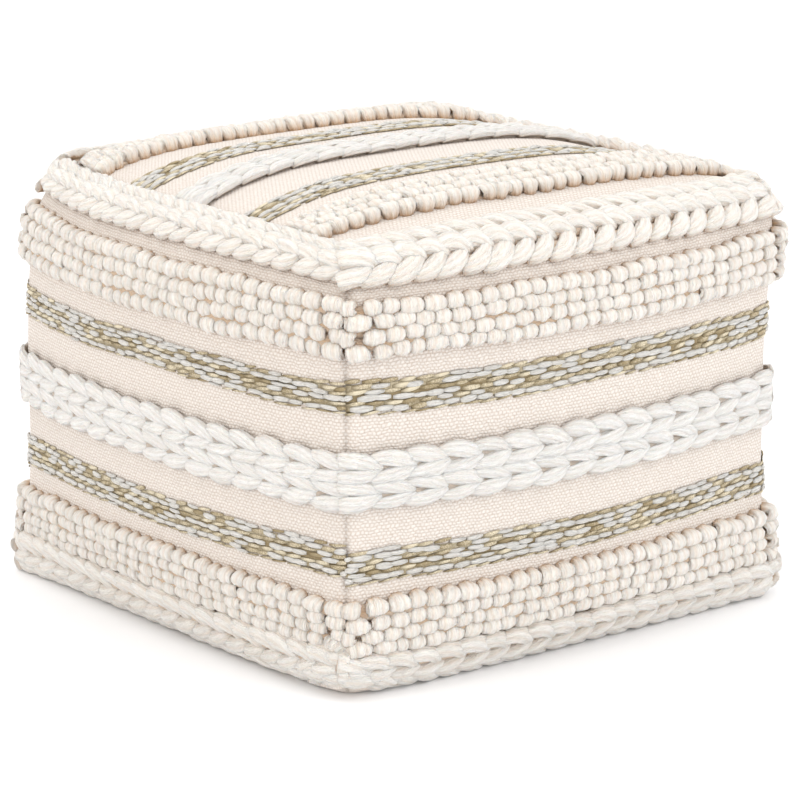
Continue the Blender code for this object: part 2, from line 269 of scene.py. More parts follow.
def node_tools(name, roughness, sheen):
    """A new material, its principled shader and short ways to add nodes to it."""
    material = bpy.data.materials.new(name)
    material.use_nodes = True
    tree = material.node_tree
    shader = tree.nodes["Principled BSDF"]
    shader.inputs["Roughness"].default_value = roughness
    shader.inputs["Sheen Weight"].default_value = sheen
    shader.inputs["Sheen Roughness"].default_value = 0.45
    shader.inputs["Specular IOR Level"].default_value = 0.25

    def put(socket, value):
        if isinstance(value, bpy.types.NodeSocket):
            tree.links.new(value, socket)
        elif isinstance(value, tuple) and len(value) == 3 and socket.type == "RGBA":
            socket.default_value = (*value, 1.0)
        else:
            socket.default_value = value

    def math(operation, *values, clamp=False):
        node = tree.nodes.new("ShaderNodeMath")
        node.operation = operation
        node.use_clamp = clamp
        for socket, value in zip(node.inputs, values):
            put(socket, value)
        return node.outputs[0]

    def mix(factor, first, second, blend="MIX"):
        node = tree.nodes.new("ShaderNodeMix")
        node.data_type = "RGBA"
        node.blend_type = blend
        put(node.inputs["Factor"], factor)
        put(node.inputs["A"], first)
        put(node.inputs["B"], second)
        return node.outputs["Result"]

    def noise(vector, scale, detail=2.0, rough=0.5):
        node = tree.nodes.new("ShaderNodeTexNoise")
        put(node.inputs["Vector"], vector)
        put(node.inputs["Scale"], scale)
        put(node.inputs["Detail"], detail)
        put(node.inputs["Roughness"], rough)
        return node.outputs["Fac"]

    def split(vector):
        node = tree.nodes.new("ShaderNodeSeparateXYZ")
        put(node.inputs[0], vector)
        return node.outputs

    def joined(x, y, z):
        node = tree.nodes.new("ShaderNodeCombineXYZ")
        for socket, value in zip(node.inputs, (x, y, z)):
            put(socket, value)
        return node.outputs[0]

    def stretched(first, scale_first, second, scale_second, third):
        return joined(math("MULTIPLY", first, scale_first),
                      math("MULTIPLY", second, scale_second), third)

    def attribute(label):
        node = tree.nodes.new("ShaderNodeAttribute")
        node.attribute_name = label
        return node.outputs["Vector"]

    def bump(height, distance, strength=1.0, normal=None):
        node = tree.nodes.new("ShaderNodeBump")
        put(node.inputs["Height"], height)
        put(node.inputs["Distance"], distance)
        put(node.inputs["Strength"], strength)
        if normal is not None:
            put(node.inputs["Normal"], normal)
        return node.outputs[0]

    def scattered(vector):
        node = tree.nodes.new("ShaderNodeTexWhiteNoise")
        node.noise_dimensions = "3D"
        put(node.inputs["Vector"], vector)
        return node.outputs["Value"]

    return material, shader, Tools(
        put, math, mix, noise, split, joined, stretched, attribute, bump, scattered
    )


FIBRE_STRAY = 0.0030        # how far the fibres wander round a bundle
SUNK_SHADE_POWER = 2.4            # how suddenly the painted shade deepens towards a bundle's foot
FIBRE_RELIEF = 0.0013
FUZZ_RELIEF = 0.0004
GLOW_COLOURS = (1.0, 0.8, 0.65)
GLOW_DEPTH = 0.0016


def yarn_material(name, light, shaded, crevice_shade, fibres, grooves, soft=0.30):
    """Soft spun yarn: fine fibres along each bundle, with painted shade in its grooves
    and towards its foot.

    fibres is how many there are to a metre round a bundle, grooves how much of the
    painted shade in crevices lies between the strands, and soft the share of light let
    in.
    """
    material, shader, n = node_tools(name, 0.9, 0.35)
    along, around, number = n.split(n.attribute("strand"))
    valley, depth, tone = n.split(n.attribute("shade"))
    wander = n.noise(n.joined(n.math("MULTIPLY", along, 110.0), number, 0.0), 1.0, 1.0)
    around = n.math("MULTIPLY_ADD", wander, FIBRE_STRAY, around)
    fibre = n.noise(n.stretched(along, 120.0, around, fibres, number), 1.0, 3.0, 0.65)
    fibre = n.math("MULTIPLY_ADD", fibre, 2.4, -0.7, clamp=True)
    patch = n.noise(n.stretched(along, 60.0, around, 120.0, number), 1.0, 1.0)
    blend = n.math("MULTIPLY_ADD", tone, 0.5, patch, clamp=True)
    colour = n.mix(blend, light, shaded)
    # painted shade: the crevices' colour laid into the grooves between strands and
    # towards each bundle's foot
    groove = n.math("MULTIPLY", valley, grooves)
    sunk_shade = n.math("POWER", depth, SUNK_SHADE_POWER)
    groove = n.math("ADD", sunk_shade, groove, clamp=True)
    colour = n.mix(groove, colour, crevice_shade)
    streak = n.math("MULTIPLY_ADD", fibre, 0.19, 0.87)
    fuzz = n.noise(n.stretched(along, 500.0, around, 1400.0, number), 1.0, 2.0)
    streak = n.math("ADD", streak, n.math("MULTIPLY_ADD", fuzz, 0.24, -0.12))
    colour = n.mix(1.0, colour, n.joined(streak, streak, streak), "MULTIPLY")
    n.put(shader.inputs["Base Color"], colour)
    normal = n.bump(fuzz, FUZZ_RELIEF, 0.8)
    normal = n.bump(fibre, FIBRE_RELIEF, 1.0, normal)
    shader.inputs["Subsurface Weight"].default_value = soft
    shader.inputs["Subsurface Radius"].default_value = GLOW_COLOURS
    shader.inputs["Subsurface Scale"].default_value = GLOW_DEPTH
    n.put(shader.inputs["Normal"], normal)
    return material


# the gold runs from GOLD_DEEP to GOLD_LIGHT with each float's random tone and with
# painted glints
GOLD_LIGHT = (0.86, 0.78, 0.60)
GOLD_DEEP = (0.40, 0.32, 0.19)
# painted shade of the gold, in its grooves, at its foot and at a float's tucked start
GOLD_GAP_SHADE = (0.17, 0.12, 0.05)
GOLD_TUCK_SHADE = 0.0065          # length of the painted shade at a float's start, where it tucks under the one before


def metallic_material():
    """Gold thread wound round a core: fine slanted wraps, with painted glints and
    painted shade in its colour.
    """
    material, shader, n = node_tools("Gold_thread", 0.45, 0.0)
    along, around, number = n.split(n.attribute("strand"))
    valley, depth, tone = n.split(n.attribute("shade"))
    slant = n.math("MULTIPLY", along, 1100.0)
    slant = n.math("ADD", slant, n.math("MULTIPLY", around, 600.0))
    wrap = n.math("ABSOLUTE", n.math("SINE", n.math("MULTIPLY", slant, pi)))
    # painted glints: noise spots of bright gold, mixed with each float's random tone
    painted_glint = n.noise(n.stretched(along, 900.0, around, 900.0, number), 1.0, 2.0)
    glint_and_tone = n.math("MULTIPLY_ADD", tone, 0.25, painted_glint, clamp=True)
    glint_and_tone = n.math("MULTIPLY_ADD", glint_and_tone, 2.6, -0.8, clamp=True)
    colour = n.mix(glint_and_tone, GOLD_DEEP, GOLD_LIGHT)
    # painted shade towards the grooves, the foot and each float's tucked start
    painted_shade = n.math("MULTIPLY_ADD", valley, 0.3, n.math("POWER", depth, 2.0), clamp=True)
    tail = n.math("SUBTRACT", 1.2, n.math("DIVIDE", along, GOLD_TUCK_SHADE), clamp=True)
    painted_shade = n.math("MAXIMUM", painted_shade, tail)
    colour = n.mix(n.math("MULTIPLY", painted_shade, 0.65), colour, GOLD_GAP_SHADE)
    n.put(shader.inputs["Base Color"], colour)
    shader.inputs["Metallic"].default_value = 0.25
    n.put(shader.inputs["Normal"], n.bump(wrap, 0.0003, 0.8))
    return material


NUB_LONG = 0.0038           # one nub of the weave along a panel
NUB_TALL = 0.0027           # and across it
NUB_RELIEF = 0.0007
GAP_SHARE = 0.58            # how much of the gaps' colour shows between nubs: partly the cloth's own, partly painted shade
SEAM_AT = 0.2256            # from a panel's middle to its sewn edge
# painted shade where the cloth is drawn into a seam
SEAM_SHADE = (0.20, 0.14, 0.10)


def weave_material(name, thread, shade, gap_tone_and_shade):
    """Plain weave: staggered nubs of thick thread, darker between them, partly from
    the cloth's own colour and partly from painted shade.
    """
    material, shader, n = node_tools(name, 0.9, 0.2)
    x, y, panel = n.split(n.attribute("cloth"))
    wobble = n.noise(n.stretched(x, 130.0, y, 130.0, panel), 1.0, 2.0)
    wobble = n.math("SUBTRACT", wobble, 0.5)
    row = n.math("MULTIPLY_ADD", wobble, 1.4, n.math("DIVIDE", y, NUB_TALL))
    step = n.math("FLOOR", row)
    column = n.math("MULTIPLY_ADD", step, 0.5, n.math("DIVIDE", x, NUB_LONG))
    column = n.math("MULTIPLY_ADD", wobble, 1.1, column)
    nub_x = n.math("ABSOLUTE", n.math("SINE", n.math("MULTIPLY", column, pi)))
    nub_y = n.math("ABSOLUTE", n.math("SINE", n.math("MULTIPLY", row, pi)))
    nub = n.math("MULTIPLY", nub_x, nub_y)
    lot = n.scattered(n.joined(n.math("FLOOR", column), step, panel))
    fine = n.noise(n.stretched(x, 900.0, y, 900.0, panel), 1.0, 2.0)
    colour = n.mix(n.math("MULTIPLY", lot, 0.7), thread, shade)
    # the gaps between nubs: partly the cloth's own darker colour, partly painted shade
    # in the hollows
    gap_and_shade_mask = n.math("SUBTRACT", 1.0, nub, clamp=True)
    gap_and_shade_mask = n.math("MULTIPLY", n.math("POWER", gap_and_shade_mask, 1.8), GAP_SHARE)
    slub = n.noise(n.stretched(x, 260.0, y, 420.0, panel), 1.0, 2.0)
    slub = n.math("MULTIPLY_ADD", slub, 1.6, 0.2)
    gap_and_shade_mask = n.math("MULTIPLY", gap_and_shade_mask, slub, clamp=True)
    colour = n.mix(gap_and_shade_mask, colour, gap_tone_and_shade)
    # painted shade along the sewn edges
    seam = n.math("SUBTRACT", n.math("ABSOLUTE", x), SEAM_AT)
    seam = n.math("MULTIPLY", seam, 1100.0, clamp=True)
    colour = n.mix(n.math("MULTIPLY", seam, 0.75), colour, SEAM_SHADE)
    n.put(shader.inputs["Base Color"], colour)
    height = n.math("MULTIPLY_ADD", lot, 0.25, nub)
    normal = n.bump(fine, 0.0002, 0.4)
    normal = n.bump(height, NUB_RELIEF, 0.8, normal)
    n.put(shader.inputs["Normal"], normal)
    return material


# lighter and darker tones (mixed at random), the painted shade in crevices, then
# fibres, grooves and soft
CREVICE_SHADE = (0.68, 0.44, 0.25)
CREAM = yarn_material(
    "Cream_yarn", (0.94, 0.91, 0.865), (0.915, 0.88, 0.825), CREVICE_SHADE, 900.0, 0.20
)
LOOP = yarn_material(
    "Loop_yarn", (0.93, 0.895, 0.845), (0.90, 0.86, 0.80), CREVICE_SHADE, 1000.0, 0.22
)
WHITE = yarn_material(
    "White_yarn", (0.97, 0.955, 0.925), (0.95, 0.93, 0.895), (0.55, 0.42, 0.31),
    1100.0, 0.18
)
PALE_FLOAT = yarn_material(
    "White_thread", (0.97, 0.96, 0.93), (0.94, 0.92, 0.88), (0.34, 0.26, 0.14),
    1300.0, 0.22, 0.05
)
GOLD = metallic_material()
GROUND = weave_material(
    "Ground_weave", (0.815, 0.77, 0.725), (0.765, 0.715, 0.67), (0.50, 0.39, 0.31)
)
BASE_CLOTH = weave_material(
    "Base_weave", (0.90, 0.84, 0.78), (0.86, 0.79, 0.73), (0.66, 0.55, 0.46)
)


# -------------------------------------------------------------- making meshes
OVER_FLOOR = 0.0004         # the lowest place that a yarn or the base may have


def build_mesh(name, places, polygons, materials, attributes, poly_material=None,
               domain="POINT"):
    """An object from points and a list of (faces, corners) index arrays."""
    mesh = bpy.data.meshes.new(name)
    places = places - BOX_MIDDLE
    places[:, 2] = np.maximum(places[:, 2], OVER_FLOOR)
    mesh.vertices.add(len(places))
    mesh.vertices.foreach_set("co", places.astype(np.float32).ravel())
    corner_counts = np.concatenate([np.full(len(p), p.shape[1]) for p in polygons])
    corners = np.concatenate([p.ravel() for p in polygons])
    starts = np.concatenate(([0], np.cumsum(corner_counts)[:-1]))
    mesh.loops.add(len(corners))
    mesh.loops.foreach_set("vertex_index", corners.astype(np.int32))
    mesh.polygons.add(len(corner_counts))
    mesh.polygons.foreach_set("loop_start", starts.astype(np.int32))
    if poly_material is not None:
        mesh.polygons.foreach_set("material_index", poly_material.astype(np.int32))
    for label, values in attributes.items():
        layer = mesh.attributes.new(label, "FLOAT_VECTOR", domain)
        layer.data.foreach_set("vector", values.astype(np.float32).ravel())
    for material in materials:
        mesh.materials.append(material)
    mesh.update(calc_edges=True)
    mesh.validate()
    mesh.shade_smooth()
    obj = bpy.data.objects.new(name, mesh)
    bpy.context.scene.collection.objects.link(obj)
    return obj


def curve_points(control, count):
    """Points along cubic curves: control is (M, 4, D), the result (M, count, D)."""
    t = np.linspace(0, 1, count)[None, :, None]
    p = control[:, :, None, :]
    return (
        p[:, 0] * (1 - t) ** 3 + 3 * p[:, 1] * t * (1 - t) ** 2
        + 3 * p[:, 2] * t ** 2 * (1 - t) + p[:, 3] * t ** 3
    )


OPEN_ARC = radians(118)     # strands show this far round a bundle on either side
WITHIN = np.array((0.0, 0.30, 0.70))    # the points of a strand, from its groove
POINTS = len(WITHIN)
EDGE_VALLEY = 3.0           # the outer edges count as deeper than the grooves between, for the painted shade
UNDERSIDE = 0.7             # how far the closed back of a bundle reaches down
STRAND_UNEVEN = 0.022
LEAN_REACH = 0.018          # bundles lean over a corner seam from this far away


def bundle_rings(centre, side, normal, half_width, half_height, strands, depth, rng,
                 twist):
    """Ridged rings of yarn bundles along their centre lines: (M, K, J, 3)."""
    many, stations = centre.shape[:2]
    edges = np.linspace(-1, 1, strands + 1)[None, :] * np.ones((many, 1))
    edges[:, 1:-1] += rng.normal(0, 0.16 / strands, (many, strands - 1))
    crest = 1 + rng.normal(0, 0.05, (many, strands))
    uneven = rng.normal(0, STRAND_UNEVEN, (many, stations, POINTS * strands + 1))
    uneven = 1 + uneven
    start = edges[:, :-1]
    width = edges[:, 1:] - start
    place = (start[:, :, None] + width[:, :, None] * WITHIN).reshape(many, -1)
    place = np.concatenate((place, edges[:, -1:]), 1)
    bow = 1 - depth * (1 - np.sqrt(1 - (2 * WITHIN - 1) ** 2))
    swell = (crest[:, :, None] * bow).reshape(many, strands, POINTS)
    swell[:, :, 0] = 1 - depth
    swell = np.concatenate((swell.reshape(many, -1), np.full((many, 1), 1 - depth)), 1)
    valley = np.tile(((2 * WITHIN - 1) ** 4), strands)
    valley = np.concatenate((valley, (EDGE_VALLEY,)))
    valley[0] = EDGE_VALLEY
    s = np.linspace(-1, 1, stations)
    lean = rng.normal(0, 1, many) * 0.25 + twist
    leaning = (lean[:, None] * s)[:, :, None] * (1 - place[:, None, :] ** 2) * 0.5
    angle = (place[:, None, :] + leaning) * OPEN_ARC
    under = np.full((many, stations, 1), pi)
    angle = np.concatenate((angle, under), 2)
    reach = swell[:, None, :] * uneven
    reach = np.concatenate((reach, np.full((many, stations, 1), UNDERSIDE)), 2)
    valley = np.concatenate((valley, (EDGE_VALLEY,)))
    out = reach * np.cos(angle) * half_height[:, :, None]
    wide = reach * np.sin(angle) * half_width[:, :, None]
    rings = (
        centre[:, :, None, :]
        + normal[:, :, None, :] * out[..., None]
        + side[:, :, None, :] * wide[..., None]
    )
    return rings, angle, valley


def bundles(panel, way, lift, half_width, half_height, strands, depth, rng,
            twist=0.0, upright=False, tone=None):
    """Points, faces and attributes of many bundles laid on a panel.

    way is the path of each over the panel and lift the height of its middle over it.
    The attributes: strand is metres along and round a bundle and its number, shade is
    how deep a point lies in a groove and under the top, which the materials paint as
    shade, and the bundle's tone.
    """
    many, stations = way.shape[:2]
    place, along, _, normal = panel.framed(way[..., 0], way[..., 1])
    centre = place + normal * lift[..., None]
    if panel is not TOP_PANEL:
        x = way[..., 0]
        over = np.sign(x) * (1 - near_seam(x, panel.half_length, LEAN_REACH))
        centre = centre + along * (over * lift)[..., None]
    tangent = unit(np.gradient(centre, axis=1))
    side = along if upright else np.cross(tangent, normal)
    side = unit(side - tangent * np.sum(side * tangent, -1, keepdims=True))
    outward = unit(np.cross(side, tangent))
    rings, angle, valley = bundle_rings(
        centre, side, outward, half_width, half_height, strands, depth, rng, twist
    )
    ring = rings.shape[2]
    length = np.linalg.norm(np.diff(centre, axis=1), axis=-1)
    length = np.concatenate((np.zeros((many, 1)), np.cumsum(length, 1)), 1)
    girth = (half_width + half_height)[:, :, None] / 2 * angle
    number = rng.uniform(0, 40, many)
    strand = np.stack(np.broadcast_arrays(
        length[:, :, None], girth, number[:, None, None]), -1)
    # how far below its bundle's top a point lies, which the materials paint as shade
    above = np.sum((rings - place[:, :, None, :]) * normal[:, :, None, :], -1)
    full = np.maximum(above.max(axis=(1, 2), keepdims=True), 1e-4)
    sunk_shade = np.clip(1 - above / full, 0, 1)
    if tone is None:
        tone = rng.normal(0, 0.5, many)
    shade = np.stack(np.broadcast_arrays(
        valley[None, None, :], sunk_shade, tone[:, None, None]), -1)
    first = (np.arange(many) * stations * ring)[:, None, None]
    k = np.arange(stations - 1)[None, :, None] * ring
    j = np.arange(ring)[None, None, :]
    after = (j + 1) % ring
    quads = np.stack((first + k + j, first + k + ring + j,
                      first + k + ring + after, first + k + after), -1).reshape(-1, 4)
    head = first[:, 0] + np.arange(ring)[None, :]
    tail = first[:, 0] + (stations - 1) * ring + np.arange(ring)[None, ::-1]
    quads = quads[:, ::-1]
    head = head[:, ::-1]
    tail = tail[:, ::-1]
    return (rings.reshape(-1, 3), quads, np.concatenate((head, tail)),
            strand.reshape(-1, 3), shade.reshape(-1, 3))


def joined_bundles(name, sets, materials, which=None):
    """One object from several sets of bundles; which gives each set's material."""
    places, quads, caps, strands, shades = [], [], {}, [], []
    offset = 0
    for number, (place, quad, cap, strand, shade) in enumerate(sets):
        places.append(place)
        quads.append(quad + offset)
        caps.setdefault(cap.shape[1], []).append((cap + offset, number))
        strands.append(strand)
        shades.append(shade)
        offset += len(place)
    material_of = which or [0] * len(sets)
    slots = [np.full(len(q), material_of[i]) for i, q in enumerate(quads)]
    polygons = [np.concatenate(quads)]
    for size in caps:
        polygons.append(np.concatenate([c for c, _ in caps[size]]))
        slots += [np.full(len(c), material_of[i]) for c, i in caps[size]]
    attributes = {"strand": np.concatenate(strands), "shade": np.concatenate(shades)}
    return build_mesh(name, np.concatenate(places), polygons, materials, attributes,
                      np.concatenate(slots))


def dress(piece, node):
    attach(piece, "root")
    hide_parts(node)


# ----------------------------------------------------------------------- braids
# A row of leaves across a braid. Its curve runs from the tail, tucked under the
# leaf before, to the head: along in stitches, across in millimetres from the
# band's lower edge. wide is half its width in millimetres; thick is half its
# thickness and rise the lift of its middle, in shares of the band's height;
# blunt is how full the head stays.
LeafRow = namedtuple("LeafRow", "shift curve wide thick rise strands blunt")
Braid = namedtuple("Braid", "height stitches width rows")
EDGE_BRAID = Braid(0.0125, 21, 0.0585, (
    LeafRow(0.0, ((-0.15, 60.0), (0.02, 58.0), (0.18, 53.0), (0.32, 45.0)),
            8.2, 0.44, 0.40, 5, 0.85),
    LeafRow(0.0, ((-0.95, 54.0), (-0.30, 56.0), (0.40, 47.0), (0.98, 35.5)),
            8.0, 0.50, 0.50, 5, 0.60),
    LeafRow(0.3, ((-0.80, 30.5), (-0.30, 35.5), (0.40, 36.0), (0.88, 23.5)),
            9.9, 0.50, 0.52, 5, 0.95),
    LeafRow(0.1, ((-0.60, 7.0), (-0.05, 7.5), (0.50, 14.5), (0.72, 29.5)),
            8.4, 0.48, 0.44, 5, 0.92),
))
FLOOR_BRAID = Braid(0.0125, 20, 0.0555, (
    LeafRow(0.0, ((-0.85, 45.0), (-0.35, 54.5), (0.40, 54.5), (0.85, 38.0)),
            7.9, 0.54, 0.52, 4, 0.95),
    LeafRow(0.2, ((-0.85, 25.0), (-0.30, 27.0), (0.30, 32.0), (0.80, 38.0)),
            7.6, 0.50, 0.48, 4, 0.75),
    LeafRow(0.5, ((-0.80, 21.0), (-0.30, 24.0), (0.35, 20.0), (0.80, 12.0)),
            7.6, 0.50, 0.46, 4, 0.80),
    LeafRow(0.3, ((-0.80, 1.0), (-0.30, 2.0), (0.30, 6.0), (0.75, 11.0)),
            6.8, 0.46, 0.40, 4, 0.70),
))
WHITE_BRAID = Braid(0.0090, 15.7, 0.0455, (
    LeafRow(0.00, ((-0.42, 39.0), (0.02, 43.5), (0.50, 39.5), (1.02, 31.0)),
            7.2, 0.48, 0.50, 5, 0.58),
    LeafRow(0.03, ((-0.45, 24.5), (0.00, 23.5), (0.50, 27.5), (1.00, 33.5)),
            7.4, 0.48, 0.46, 5, 0.60),
    LeafRow(0.00, ((-0.42, 18.0), (0.02, 22.0), (0.50, 18.5), (1.02, 10.5)),
            6.8, 0.48, 0.50, 5, 0.58),
    LeafRow(0.03, ((-0.45, 4.5), (0.00, 3.8), (0.50, 7.0), (1.00, 12.5)),
            7.1, 0.46, 0.44, 5, 0.60),
))


LIP_END = {"front": -1, "left": 1}    # the ends of the panels by the base's lip
LIP_RUN = 0.075             # the floor braid rises over the lip from this far away
LIP_RISE = 0.0115
LEAF_DEPTH = 0.09           # of the grooves between strands, as a share
LEAF_TWIST = 0.35
OVER_SEAM = 0.0025          # how far the leaves run past a corner seam
FOOT_SHARE = 0.62           # the height of the bed under the leaves
IN_SHADE = 0.82             # how deep the bed counts as lying, so that it takes painted shade


def inside_part(way, limit, stations):
    """Resample each curve to the part of it between the seams; drop the rest."""
    kept, share = [], np.linspace(0, 1, way.shape[1])
    for path in way:
        inside = np.abs(path[:, 0]) <= limit
        if inside.sum() < 0.35 * len(path):
            continue
        low, high = share[inside][0], share[inside][-1]
        at = np.linspace(low, high, stations)
        columns = [np.interp(at, share, path[:, c]) for c in range(path.shape[1])]
        kept.append(np.stack(columns + [at], -1))
    return np.array(kept)


def near_seam(x, half_length, reach=0.012):
    """1 over the panel, falling to 0 at its seams."""
    return np.clip((half_length - np.abs(x)) / reach, 0, 1)


def braid_row(panel, braid, row, low, high, rng, stations=9):
    """The bundles of one row of leaves, from seam to seam."""
    share = (high - low) / braid.width
    scale = 0.001 * share
    girth_scale = 0.001 * share ** 0.4
    pitch = 2 * panel.half_length / braid.stitches
    first = np.arange(-2, int(braid.stitches) + 3) * pitch - panel.half_length
    first = first + row.shift * pitch + rng.normal(0, 0.03, len(first)) * pitch
    control = np.array(row.curve)[None] * np.ones((len(first), 1, 1))
    control = control + rng.normal(0, 1, control.shape) * (0.028, 0.75)
    control[..., 0] = control[..., 0] * pitch + first[:, None]
    control[..., 1] = low + control[..., 1] * scale
    if braid is FLOOR_BRAID and panel.name in LIP_END:
        lip_at = LIP_END[panel.name] * panel.half_length
        close = 1 - np.abs(control[..., 0] - lip_at) / LIP_RUN
        below = np.clip((high - control[..., 1]) / (high - low), 0, 1)
        control[..., 1] += LIP_RISE * np.clip(close, 0, 1) ** 0.8 * below
    path = curve_points(control, 41)
    path = inside_part(path, panel.half_length + OVER_SEAM, stations)
    s = path[..., 2]
    many = len(path)
    size = 1 + rng.normal(0, 0.07, (many, 1))
    belly = np.sin(pi * np.clip(s * 0.92 + 0.08, 0, 1) ** 0.85)
    head = np.clip((1 - s) / 0.40, 0, 1) ** 0.6 * (1 - row.blunt) + row.blunt
    tail = 0.50 + 0.50 * np.clip(s / 0.40, 0, 1) ** 0.8
    tip = np.sqrt(1 - (1 - np.clip((1 - s) / 0.16, 0, 1)) ** 2) * 0.7 + 0.3
    girth = head * tail * tip * size
    edge = 0.88 + 0.12 * near_seam(path[..., 0], panel.half_length)
    height = braid.height * panel.relief
    half_width = row.wide * girth_scale * girth
    half_height = row.thick * height * (0.35 + 0.65 * girth) * edge
    lift = row.rise * height * (0.25 + 0.75 * np.maximum(belly, 0)) * edge
    lift = lift + height * 0.10 * np.clip(s / 0.6, 0, 1)
    return bundles(panel, path[..., :2], lift, half_width, half_height,
                   row.strands, LEAF_DEPTH, rng, twist=LEAF_TWIST)


def bedding(panel, height, low, high, depth):
    """The flat foot of a band, deep in its crevices, as three long bundles coloured
    with painted shade by their depth.
    """
    x = np.linspace(-1, 1, 61) * (panel.half_length - 0.0005)
    rows = 3
    y = low + (high - low) * (np.arange(rows) + 0.5) / rows
    way = np.stack(np.broadcast_arrays(x[None, :], y[:, None]), -1)
    flat = np.ones(way.shape[:2])
    least = 0.7 if panel is TOP_PANEL else 0.15
    full = least + (1 - least) * near_seam(way[..., 0], panel.half_length, 0.020)
    place, quads, caps, strand, shade = bundles(
        panel, way, flat * 0.0004, flat * (high - low) / rows * 0.52,
        height * full, 2, 0.05, np.random.default_rng(9)
    )
    shade[:, 1] = depth
    return place, quads, caps, strand, shade


def braid(panel, kind, name, edges, material, slot, seed):
    """A braid: rows of overlapping leaves whose tips meet in chevrons."""
    low, high = edges
    rng = np.random.default_rng(seed)
    sets = [braid_row(panel, kind, row, low, high, rng) for row in kind.rows]
    foot = FOOT_SHARE * kind.height * panel.relief
    sets.append(bedding(panel, foot, low + 0.005, high - 0.005, IN_SHADE))
    piece = joined_bundles(f"{panel.name}_{name}_leaves", sets, [material])
    dress(piece, f"{panel.name}_{name}")
    return piece


# ------------------------------------------------------------------------ loops
LOOP_PITCH = 0.0158
LOOP_ROWS = 4
LOOP_HEIGHT = 0.0120
KNOB_ROUND = 0.0041         # half the thickness of a knob's yarn
KNOB_DEPTH = 0.08           # of the grooves between its strands, as a share
WIDE_KNOB = 0.0078          # from this half width on, a knob has one strand more
BED_SHARE = 0.66            # the height of the bed under the knobs


def knob_places(rng, reach, first):
    """Middles and half widths of a row of touching, uneven knobs."""
    count = int(round(2 * reach / LOOP_PITCH))
    wide = (1 + rng.normal(0, 0.11, count)).clip(0.75, 1.30)
    wide[0] *= first
    wide *= 2 * reach / wide.sum()
    ends = np.concatenate(((0.0,), np.cumsum(wide))) - reach
    return (ends[:-1] + ends[1:]) / 2, wide / 2


def loops(panel, name, edges, seed):
    """Four staggered rows of plump knobs, each of four or five strands."""
    low, high = edges
    rng = np.random.default_rng(seed)
    rise = (high - low) / LOOP_ROWS
    height = LOOP_HEIGHT * panel.relief
    reach = panel.half_length + (0.0025 if panel is TOP_PANEL else -0.0010)
    turn = np.linspace(radians(-15), radians(195), 9)
    sets = []
    for row in range(LOOP_ROWS):
        x, half = knob_places(rng, reach, 1.15 - 0.45 * (row % 2))
        many = len(x)
        y = low + (row + 0.5) * rise + rng.normal(0, 0.0006, many)
        y = y + 0.0008 * np.sin(x * 47 + row + seed)
        size = 1 + rng.normal(0, 0.05, many)
        thick = KNOB_ROUND * size
        arch = rise / 2 - thick + 0.0020
        lean = rng.normal(0, 0.0009, many)
        across = np.sign(np.cos(turn)) * np.abs(np.cos(turn)) ** 0.80
        rising = np.sin(turn).clip(0) ** 0.65 - 0.12 * (np.sin(turn) < 0)
        way = np.stack((
            x[:, None] - lean[:, None] * across,
            y[:, None] - arch[:, None] * across,
        ), -1)
        tall = (height - 0.0008) * size - thick
        lift = 0.0008 + tall[:, None] * rising
        half_width = 1.14 * half[:, None] * (0.66 + 0.34 * np.sin(turn).clip(0) ** 0.6)
        half_height = thick[:, None] * np.ones(len(turn))
        wide_ones = half > WIDE_KNOB
        for chosen, strands in ((wide_ones, 5), (~wide_ones, 4)):
            if chosen.any():
                sets.append(bundles(
                    panel, way[chosen], lift[chosen], half_width[chosen],
                    half_height[chosen], strands, KNOB_DEPTH, rng, upright=True
                ))
    bed = BED_SHARE * height
    sets.append(bedding(panel, bed, low + 0.003, high - 0.003, IN_SHADE))
    piece = joined_bundles(f"{panel.name}_{name}_tufts", sets, [LOOP])
    dress(piece, f"{panel.name}_{name}")
    return piece


# ----------------------------------------------------------------------- floats
FLOAT_PITCH = 0.0142
SHORTEST_FLOAT = 0.005
FLOAT_DEPTH = 0.12          # of the groove between its two strands, as a share
# From the lowest row up: how much of it is gold, and its share of the height.
FLOAT_ROWS = (
    (0.95, 0.55), (0.04, 1.15), (0.90, 0.95), (0.12, 1.15), (0.80, 0.95), (0.15, 1.15),
    (0.62, 0.90),
)


